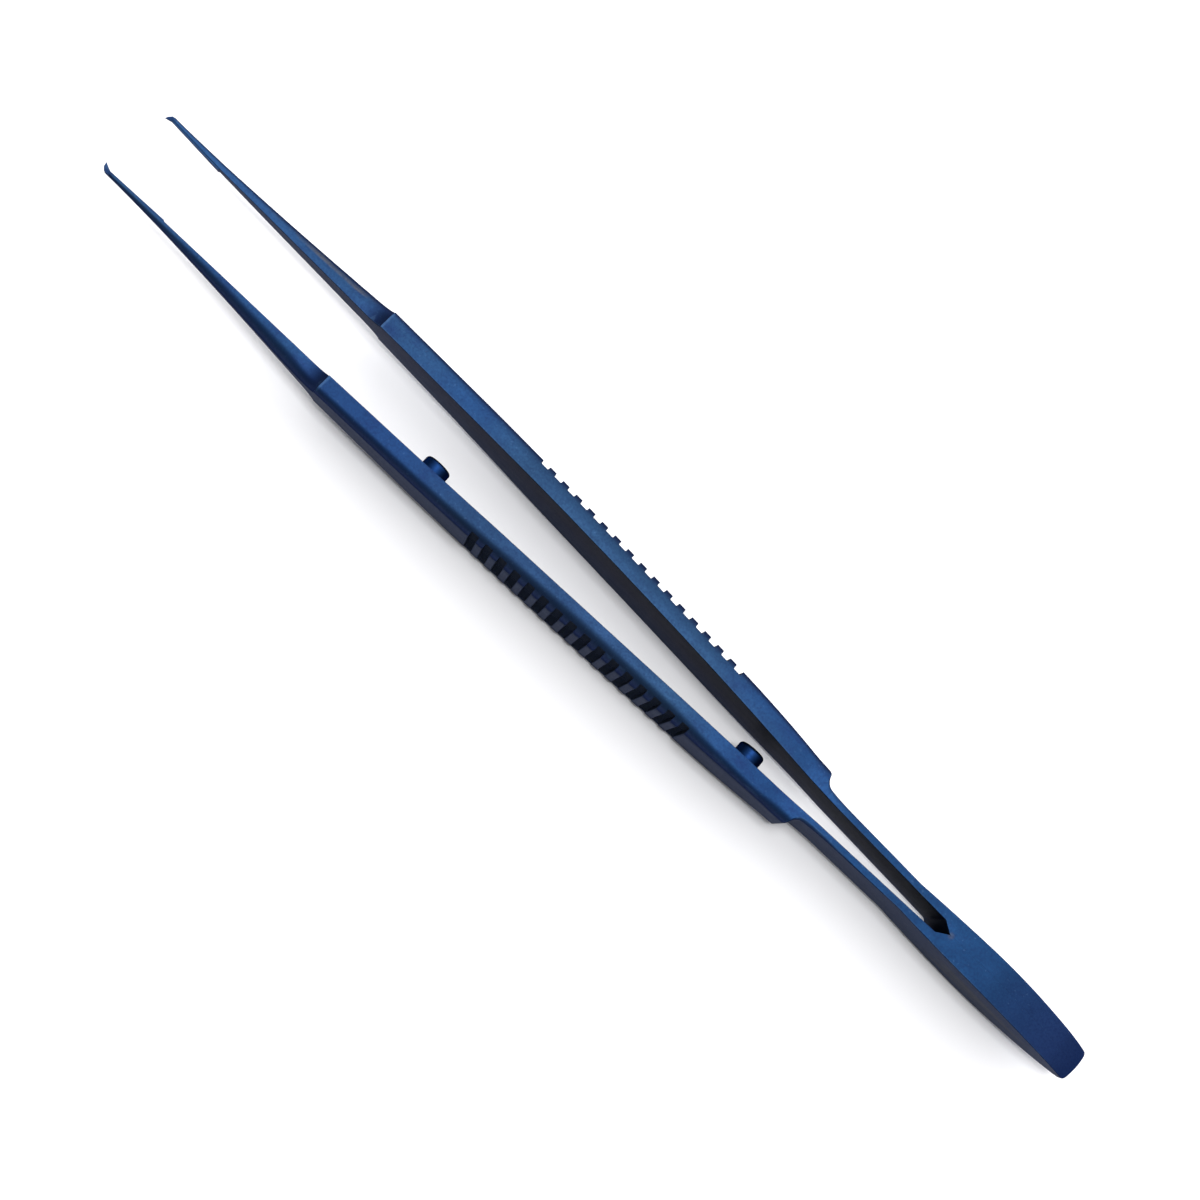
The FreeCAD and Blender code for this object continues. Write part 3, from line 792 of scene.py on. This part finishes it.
        # Lighter crests of the edges, partly wear and partly painted highlight, a painted highlight on
        # the lip of the front shoulder and a painted reflection along the plain shank
        patchy = mottle.step(0.35, 0.6)
        crest = graph.wire("ShaderNodeNewGeometry", output="Pointiness").step(0.53, 0.60)
        off_seam = (abs(y) / MM).step(0.15, 0.4)
        lip = place.window((84.02, 84.2), (84.3, 84.27)) * tilt.step(0.6, 0.8)
        # painted reflection on the rounding of the plain shank that faces the lights
        shank_reflection = place.window((85.5, 88.0), (99.0, 93.0)) * tilt.window((0.62, 0.8), (0.97, 0.9))
        shank_reflection = shank_reflection * (y / MM).step(-0.5, -1.0) * (ny * -1.0).step(0.05, 0.25)
        colour = graph.layers(
            colour,
            # wear with a painted highlight on the crests of the edges
            (crest * patchy * off_seam * tilt.step(0.5, 0.8) * 0.35, self.edge_wear_and_highlight),
            # painted highlight on the lip of the front shoulder
            (lip * 0.45, self.edge_wear_and_highlight),
            # painted reflection along the plain shank
            (shank_reflection * patchy * 0.5, self.grey_streak_and_reflection))

        # Painted glints of the blasted surface on the faces that look up, and its grain
        glint_specks = graph.noise(3400.0, 1.0).step(0.68, 0.76)
        colour = graph.layers(
            colour,
            # painted glints, only on faces that look up
            (glint_specks * tilt.step(0.4, 0.8) * 0.22, self.glint_speck),
            ((grain - 0.42) * 1.1, self.deep))
        roughness = (mottle - 0.5) * 0.2 + (grain - 0.5) * 0.16 + self.roughness
        # the clear film shows on the walls, less where shade is painted in the grooves and the bands
        film = wall * (1.0 - cut) * (1.0 - edge_band_shade * 0.6) * self.film
        relief = grain * 0.7 + mottle * 0.3
        return graph.metal(colour, roughness, relief, self.grain_depth, self.edge, film)


@dataclass(frozen=True)
class TurnedNavy:
    """Turned titanium under a dark blue anodic film, for the stop pins."""

    face: Colour = (0.005, 0.020, 0.075)
    sheen: Colour = (0.007, 0.028, 0.10)
    # painted shade of the crown and rim of each pin
    rim: Colour = (0.002, 0.004, 0.011)
    edge: Colour = (0.24, 0.22, 0.2)
    roughness: float = 0.46
    grain_depth: float = 0.000003

    def material(self) -> bpy.types.Material:
        """Build the finish of the pins."""
        graph = Surface("turned_navy_titanium")
        ny = graph.axes("Normal")[1]
        mottle = graph.noise(1400.0, 3.0)
        rings = graph.noise(5200.0, 2.0, (0.05, 1.0, 0.05))
        grain = graph.noise(7000.0, 2.0)
        colour = graph.layers(
            self.face,
            (mottle.step(0.4, 0.7) * 0.6, self.sheen),
            # painted shade on the crown and the rounded rim, which face along the pin's axis
            (abs(ny).step(0.3, 0.8) * 0.85, self.rim))
        roughness = (rings - 0.5) * 0.2 + self.roughness
        return graph.metal(colour, roughness, grain * 0.4 + rings * 0.6, self.grain_depth, self.edge)


@dataclass(frozen=True)
class GrooveForm:
    """The cutter that leaves one groove across the grip, and how the grooves are set out."""

    count: int = 16
    first_place: float = 43.6
    pitch: float = 1.537
    width: float = 0.8
    depth: float = 0.5
    rear_depth: float = 0.57
    front_depth: float = 0.44
    floor_radius: float = 0.08
    mouth_radius: float = 0.13
    overrun: float = 1.0
    run_out_start: float = 1.9
    run_out_end: float = 3.2
    run_out_share: float = 0.2
    flare_rise: float = 0.12
    flare_slope: float = 15.0
    deepest: float = 0.8

    def outline(self) -> list[tuple[float, float]]:
        """Outline of the cutter, with y = 0 on the grip's outer face.

        Returns:
            Corners (x, y), in order round the outline.
        """
        half = self.width / 2
        right = [(half - self.floor_radius * (1 - math.sin(a)),
                  -self.depth + self.floor_radius * (1 - math.cos(a)))
                 for a in map(math.radians, (0, 30, 60, 90))]
        right += [(half + self.mouth_radius * (1 - math.cos(a)), -self.mouth_radius * (1 - math.sin(a)))
                  for a in map(math.radians, (0, 20, 40, 60, 75))]
        last = right[-1]
        flare_run = self.flare_rise / math.tan(math.radians(self.flare_slope))
        right.append((last[0] + flare_run, last[1] + self.flare_rise))
        right.append((right[-1][0], self.overrun))
        return right + [(-x, y) for x, y in reversed(right)]

    def cutter(self) -> bpy.types.Object:
        """Make the cutter, longer than the grip is wide and shallower where it runs out below."""
        outline = self.outline()
        across = GRIP_HALF_WIDTH + self.overrun
        count = len(outline)
        rings = ((-across, self.run_out_share), (-self.run_out_end, self.run_out_share),
                 (-self.run_out_start, 1.0), (across, 1.0))
        vertices = np.array([(x, y * share if y < 0 else y, z)
                             for z, share in rings for x, y in outline]) * MM
        last = (len(rings) - 1) * count
        faces: list[Face] = [tuple(range(count - 1, -1, -1)), tuple(range(last, last + count))]
        for a, b, c, d in tube_faces(len(rings), count):
            faces += [(a, b, d), (b, c, d)]
        return closed_object("groove_cutter", vertices, faces)


class GrooveTree:
    """Geometry nodes that join the teeth to a half and cut the row of grooves across its grip."""

    SOCKETS = (
        ("Geometry", "NodeSocketGeometry"),
        ("Teeth", "NodeSocketObject"),
        ("Cutter", "NodeSocketObject"),
        ("Groove Count", "NodeSocketInt"),
        ("Bow Centre", "NodeSocketVector"),
        ("Face Radius", "NodeSocketFloat"),
        ("First Angle", "NodeSocketFloat"),
        ("Angle Step", "NodeSocketFloat"),
        ("Rear Depth Scale", "NodeSocketFloat"),
        ("Front Depth Scale", "NodeSocketFloat"),
        ("Finish", "NodeSocketMaterial"),
    )

    def __init__(self) -> None:
        """Build the tree."""
        self.tree = bpy.data.node_groups.new("grip_grooves", "GeometryNodeTree")
        self.identifiers: dict[str, str] = {}
        for name, kind in self.SOCKETS:
            socket = self.tree.interface.new_socket(name=name, in_out="INPUT", socket_type=kind)
            self.identifiers[name] = socket.identifier
        self.tree.interface.new_socket(name="Geometry", in_out="OUTPUT", socket_type="NodeSocketGeometry")
        graph = NodeGraph(self.tree)
        given = graph.node("NodeGroupInput").outputs

        index = graph.wire("GeometryNodeInputIndex")
        angle = Wire(graph, given["First Angle"]) - index * Wire(graph, given["Angle Step"])
        radius = Wire(graph, given["Face Radius"])
        outwards = graph.wire("ShaderNodeCombineXYZ",
                              {0: 0.0 - angle.math("SINE") * radius, 1: angle.math("COSINE") * radius})
        position = graph.wire("ShaderNodeVectorMath", {0: given["Bow Centre"], 1: outwards},
                              operation="ADD")
        points = graph.wire("GeometryNodePoints", {"Count": given["Groove Count"], "Position": position})
        deep = graph.wire("ShaderNodeMapRange",
                          {"Value": index, "From Min": 0.0,
                           "From Max": Wire(graph, given["Groove Count"]) - 1.0,
                           "To Min": given["Rear Depth Scale"], "To Max": given["Front Depth Scale"]})
        scale = graph.wire("ShaderNodeCombineXYZ", {0: 1.0, 1: deep, 2: 1.0})
        turn = graph.wire("ShaderNodeCombineXYZ", {2: angle})
        cutter, teeth = (graph.wire("GeometryNodeObjectInfo", {"Object": given[name]}, "Geometry",
                                    transform_space="ORIGINAL") for name in ("Cutter", "Teeth"))
        row = graph.wire("GeometryNodeInstanceOnPoints",
                         {"Points": points, "Instance": cutter, "Rotation": turn, "Scale": scale})
        joined = graph.node("GeometryNodeMeshBoolean", {"Mesh 2": given["Geometry"]},
                            operation="UNION", solver="MANIFOLD")
        graph.feed(joined.inputs["Mesh 2"], teeth)
        grooved = graph.wire("GeometryNodeMeshBoolean",
                             {"Mesh 1": joined.outputs["Mesh"], "Mesh 2": row}, "Mesh",
                             operation="DIFFERENCE", solver="MANIFOLD")
        real = graph.wire("GeometryNodeRealizeInstances", {0: grooved})
        dressed = graph.wire("GeometryNodeSetMaterial", {"Geometry": real, "Material": given["Finish"]})
        graph.node("NodeGroupOutput", {0: dressed})

    def apply(self, name: str, blank: bpy.types.Object, values: Mapping[str, Any]) -> bpy.types.Object:
        """Run the tree on a blank and keep the result as a plain mesh.

        Args:
            name: Name of the finished piece.
            blank: The half before its grooves, which is deleted.
            values: The tree's inputs by name.

        Returns:
            The finished piece, with no modifier.
        """
        modifier = blank.modifiers.new("grooves", "NODES")
        modifier.node_group = self.tree
        for socket, value in values.items():
            modifier[self.identifiers[socket]] = value
        evaluated = blank.evaluated_get(bpy.context.evaluated_depsgraph_get())
        mesh = bpy.data.meshes.new_from_object(evaluated)
        mesh.name = name
        blank.modifiers.remove(modifier)
        bpy.data.objects.remove(blank)
        return new_object(name, mesh)


@dataclass(frozen=True)
class ToothForm:
    """A tooth that leans forwards from the end of the platform towards the other arm."""

    root: float
    tip: float
    height: float
    low_z: float
    high_z: float
    back_share: float = 0.35
    tip_length: float = 0.12
    tip_rise: float = 0.06
    sunk: float = 0.3
    sunk_rise: float = 0.05
    root_inset: float = 0.02
    back_inset: float = 0.04
    taper: float = 0.35

    def solid(self, arm: ArmForm) -> tuple[np.ndarray, list[Face]]:
        """Corners and faces of the tooth.

        Args:
            arm: The half that carries it.

        Returns:
            Points in millimetres and the corners of each face.
        """
        face = arm.platform(self.root)
        back = face + arm.platform_rise + arm.shank_thickness(self.root) - self.back_inset
        outline = [
            (self.root - self.sunk, face + self.sunk_rise, 0.0),
            (self.root - self.root_inset, face + self.root_inset, 0.0),
            (self.tip, arm.platform(self.tip) - self.height, 1.0),
            (self.tip - self.tip_length, arm.platform(self.tip) + self.tip_rise, 0.8),
            (self.root + self.back_share * (self.tip - self.root), back, 0.2),
            (self.root - self.sunk, back, 0.0),
        ]
        middle = (self.low_z + self.high_z) / 2
        points = []
        for edge in (self.low_z, self.high_z):
            points += [(place, y, edge + (middle - edge) * self.taper * share)
                       for place, y, share in outline]
        count = len(outline)
        faces: list[Face] = []
        for i in range(1, count - 1):
            faces += [(0, i + 1, i), (count, count + i, count + i + 1)]
        for i in range(count):
            j = (i + 1) % count
            faces += [(i, j, count + j), (i, count + j, count + i)]
        return np.array(points), faces


@dataclass
class Half:
    """One half of the forceps: tail, spring leaf, grooved grip, shank and toothed tip."""

    name: str
    side: Side
    body: str
    nodes: tuple[str, str]
    end: float
    teeth: Sequence[ToothForm]
    arm: ArmForm = field(default_factory=ArmForm)
    grooves: GrooveForm = field(default_factory=GrooveForm)
    smooth_angle: float = 38.0

    def blank(self) -> bpy.types.Object:
        """Loft the half from its cross-sections, before the grooves and the teeth."""
        arm = self.arm
        places = arm.places(self.end)
        rings = []
        for place in places:
            upper = arm.section(place)
            lower = upper[-2:0:-1] * np.array([1.0, -1.0])
            ring = np.vstack([upper, lower])
            bulge = arm.tail_end_drop * (ring[:, 0] / arm.tail_half_thickness) ** 2
            fading = max(0.0, 1 - place / arm.tail_drop_length)
            rings.append(np.column_stack([place + bulge * fading, ring]))
        faces = loft_faces(len(rings), len(rings[0]))
        return closed_object(self.name + "_blank", in_row(np.vstack(rings)), faces)

    def teeth_solid(self) -> bpy.types.Object:
        """All the teeth of this half, as one mesh of separate solids."""
        points: list[np.ndarray] = []
        faces: list[Face] = []
        for tooth in self.teeth:
            corners, sides = tooth.solid(self.arm)
            start = sum(len(part) for part in points)
            points.append(corners)
            faces += [tuple(start + i for i in face) for face in sides]
        return closed_object(self.name + "_teeth", in_row(np.vstack(points)), faces)

    def mark_grooves(self, mesh: bpy.types.Mesh) -> None:
        """Store at each point how deep it lies in a groove, in millimetres, for the finish to read."""
        points = np.empty(3 * len(mesh.vertices))
        mesh.vertices.foreach_get("co", points)
        points = (points.reshape(-1, 3) - in_row(np.zeros(3))) / MM
        centre = self.arm.bow_centre
        depth = self.arm.face_radius - np.hypot(points[:, 0] - centre[0], points[:, 1] - centre[1])
        first = self.grooves.first_place - self.grooves.width
        row = self.grooves.pitch * (self.grooves.count - 1)
        last = self.grooves.first_place + row + self.grooves.width
        inside = (points[:, 0] > first) & (points[:, 0] < last) & (depth < self.grooves.deepest)
        layer = mesh.attributes.new("groove_depth", "FLOAT", "POINT")
        layer.data.foreach_set("value", np.where(inside, np.maximum(depth, 0.0), 0.0))

    def build(self, tree: GrooveTree, finish: bpy.types.Material) -> bpy.types.Object:
        """Make the finished half.

        Args:
            tree: The nodes that cut the grooves.
            finish: Its material.

        Returns:
            The finished piece.
        """
        arm, grooves = self.arm, self.grooves
        cutter, teeth = grooves.cutter(), self.teeth_solid()
        made = tree.apply(self.name, self.blank(), {
            "Teeth": teeth,
            "Cutter": cutter,
            "Groove Count": grooves.count,
            "Bow Centre": tuple(in_row(arm.bow_centre)),
            "Face Radius": arm.face_radius * MM,
            "First Angle": (OVERALL_LENGTH - grooves.first_place) / arm.bow_radius,
            "Angle Step": grooves.pitch / arm.face_radius,
            "Rear Depth Scale": grooves.rear_depth / grooves.depth,
            "Front Depth Scale": grooves.front_depth / grooves.depth,
            "Finish": finish,
        })
        for tool in (cutter, teeth):
            bpy.data.objects.remove(tool)
        self.mark_grooves(made.data)
        if self.side is Side.PLAIN:
            made.data.transform(Matrix.Scale(-1.0, 4, (0.0, 1.0, 0.0)))
            made.data.flip_normals()
        dress(made, finish, self.smooth_angle)
        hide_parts(*self.nodes)
        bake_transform(made)
        return made


@dataclass(frozen=True)
class StopPin:
    """A turned pin with a rounded rim, pressed into the inner face of the pin-side arm."""

    name: str
    node: str
    place: float
    height: float
    radius: float = 1.25
    rim: float = 0.3
    depth: float = 1.3
    crown: float = 0.04
    foot_clearance: float = 0.02
    seat_step: float = 0.06
    rim_step: float = 0.05
    around: int = 72
    smooth_angle: float = 40.0

    def outline(self) -> list[tuple[float, float]]:
        """Radius and level of the turned outline, from the foot to the crown."""
        levels = (-self.depth + self.foot_clearance, -self.seat_step, 0.0, self.seat_step,
                  self.height / 2, self.height - self.rim - self.rim_step)
        points = [(self.radius, level) for level in levels]
        for angle in range(0, 91, 10):
            turn = math.radians(angle)
            points.append((self.radius - self.rim * (1 - math.cos(turn)),
                           self.height - self.crown - self.rim * (1 - math.sin(turn))))
        flat = self.radius - self.rim
        points += [(flat * share, self.height - self.crown * share ** 2) for share in (0.93, 0.6, 0.3)]
        return points

    def build(self, arm: ArmForm, finish: bpy.types.Material) -> bpy.types.Object:
        """Turn the pin and seat it.

        Args:
            arm: The arm whose bow it stands square to.
            finish: Its material.

        Returns:
            The finished piece.
        """
        outline = self.outline()
        seat = np.array([self.place, arm.bow(self.place), 0.0])
        inwards = (arm.bow_centre - seat) / np.linalg.norm(arm.bow_centre - seat)
        along = np.array([-inwards[1], inwards[0], 0.0])
        up = np.array([0.0, 0.0, 1.0])
        points = []
        for radius, level in outline:
            for i in range(self.around):
                turn = 2 * math.pi * i / self.around
                outwards = along * math.cos(turn) + up * math.sin(turn)
                points.append(seat + inwards * level + outwards * radius)
        faces = tube_faces(len(outline), self.around)
        foot, crown = len(points), len(points) + 1
        points += [seat - inwards * (self.depth - self.foot_clearance), seat + inwards * self.height]
        last = (len(outline) - 1) * self.around
        for i in range(self.around):
            j = (i + 1) % self.around
            faces += [(foot, j, i), (crown, last + i, last + j)]
        made = closed_object(self.name, in_row(np.array(points)), faces)
        dress(made, finish, self.smooth_angle)
        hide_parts(self.node)
        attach(made, "pin_side")
        return made


@dataclass(frozen=True)
class Studio:
    """White table, soft light and the camera."""

    table_size: float = 3.0
    table_colour: Colour = (0.88, 0.88, 0.90)
    table_roughness: float = 0.7
    fill: float = 0.26
    camera_place: tuple[float, float, float] = (0.003349, 0.031042, 0.191414)
    camera_forward: tuple[float, float, float] = (-0.01438, -0.16359, -0.98642)
    camera_right: tuple[float, float, float] = (-0.71150, -0.69147, 0.12505)
    lens: float = 68.39
    sensor: float = 36.0
    clip_start: float = 0.01

    def table(self) -> bpy.types.Object:
        """The table that the forceps lie on."""
        half = self.table_size / 2
        mesh = bpy.data.meshes.new("white_table")
        corners = [(-half, -half, 0.0), (half, -half, 0.0), (half, half, 0.0), (-half, half, 0.0)]
        mesh.from_pydata(corners, [], [(0, 1, 2, 3)])
        made = new_object("white_table", mesh)
        mesh.materials.append(Surface("white_table").shaded(
            {"Base Color": (*self.table_colour, 1.0), "Roughness": self.table_roughness}))
        return made

    def softbox(self, name: str, place: tuple[float, float, float], size: tuple[float, float],
                radiance: float, level: bool = False) -> None:
        """A rectangular soft light.

        Args:
            name: Its name.
            place: Where its middle is, in metres.
            size: Its sides in metres.
            radiance: How bright its face is.
            level: Whether it faces straight down instead of towards the forceps.
        """
        data = bpy.data.lights.new(name, "AREA")
        data.shape = "RECTANGLE"
        data.size, data.size_y = size
        data.energy = math.pi * size[0] * size[1] * radiance
        lamp = new_object(name, data)
        lamp.location = place
        facing = Vector((0.0, 0.0, -1.0)) if level else -Vector(place)
        lamp.rotation_euler = facing.to_track_quat("-Z", "Y").to_euler()

    def lights(self) -> None:
        """Light from the far right and above, with an even fill from all round."""
        self.softbox("key_softbox", (0.0, -0.015, 1.0), (0.24, 0.20), 42.0, level=True)
        self.softbox("side_softbox", (0.0, -0.70, 1.0), (2.6, 1.2), 1.8, level=True)
        self.softbox("low_softbox", (0.0, -0.95, 0.5), (1.8, 0.6), 2.6)
        world = bpy.data.worlds.new("fill")
        world.use_nodes = True
        background = world.node_tree.nodes["Background"]
        background.inputs["Color"].default_value = (1.0, 1.0, 1.0, 1.0)
        background.inputs["Strength"].default_value = self.fill
        bpy.context.scene.world = world
        bpy.context.scene.view_settings.view_transform = "Standard"

    def camera(self) -> None:
        """The camera, where the photographer's was."""
        data = bpy.data.cameras.new("camera")
        data.lens = self.lens
        data.sensor_width = self.sensor
        data.clip_start = self.clip_start
        made = new_object("camera", data)
        back = -Vector(self.camera_forward).normalized()
        right = Vector(self.camera_right)
        right = (right - back * right.dot(back)).normalized()
        up = back.cross(right)
        turned = Matrix((right, up, back)).transposed().to_4x4()
        made.matrix_world = Matrix.Translation(self.camera_place) @ turned
        bpy.context.scene.camera = made


def main() -> None:
    """Build the forceps and the studio, and report each piece."""
    logging.basicConfig(level=logging.INFO, format="%(message)s")
    blue = BlastedBlue().material()
    navy = TurnedNavy().material()
    tree = GrooveTree()
    plain_end = OVERALL_LENGTH - PLAIN_ARM_SETBACK
    pin_end = OVERALL_LENGTH - PIN_SIDE_TOOTH_REACH
    pin_side_teeth = [ToothForm(pin_end, OVERALL_LENGTH, PIN_SIDE_TOOTH_HEIGHT, low_z, high_z)
                      for low_z, high_z in ((PIN_SIDE_TOOTH_INNER_Z, PIN_SIDE_TOOTH_OUTER_Z),
                                            (-PIN_SIDE_TOOTH_OUTER_Z, -PIN_SIDE_TOOTH_INNER_Z))]
    plain_tooth = ToothForm(plain_end, plain_end + PLAIN_TOOTH_REACH, PLAIN_TOOTH_HEIGHT,
                            -PLAIN_TOOTH_HALF_WIDTH, PLAIN_TOOTH_HALF_WIDTH)
    halves = [
        Half("pin_side_half", Side.PIN, "pin_side", ("pin_side_tail_half", "pin_side_arm"), pin_end,
             pin_side_teeth),
        Half("plain_half", Side.PLAIN, "plain_side", ("plain_tail_half", "plain_arm"), plain_end,
             [plain_tooth]),
    ]
    pins = [
        StopPin("rear_pin_turned", "rear_stop_pin", place=37.7, height=1.5),
        StopPin("front_pin_turned", "front_stop_pin", place=72.9, height=1.3),
    ]
    pieces = [half.build(tree, blue) for half in halves]
    pieces += [pin.build(ArmForm(), navy) for pin in pins]
    for made in pieces:
        log.info("%s: %d faces", made.name, len(made.data.polygons))
    studio = Studio()
    studio.table()
    studio.lights()
    studio.camera()


if __name__ == "__main__":
    main()
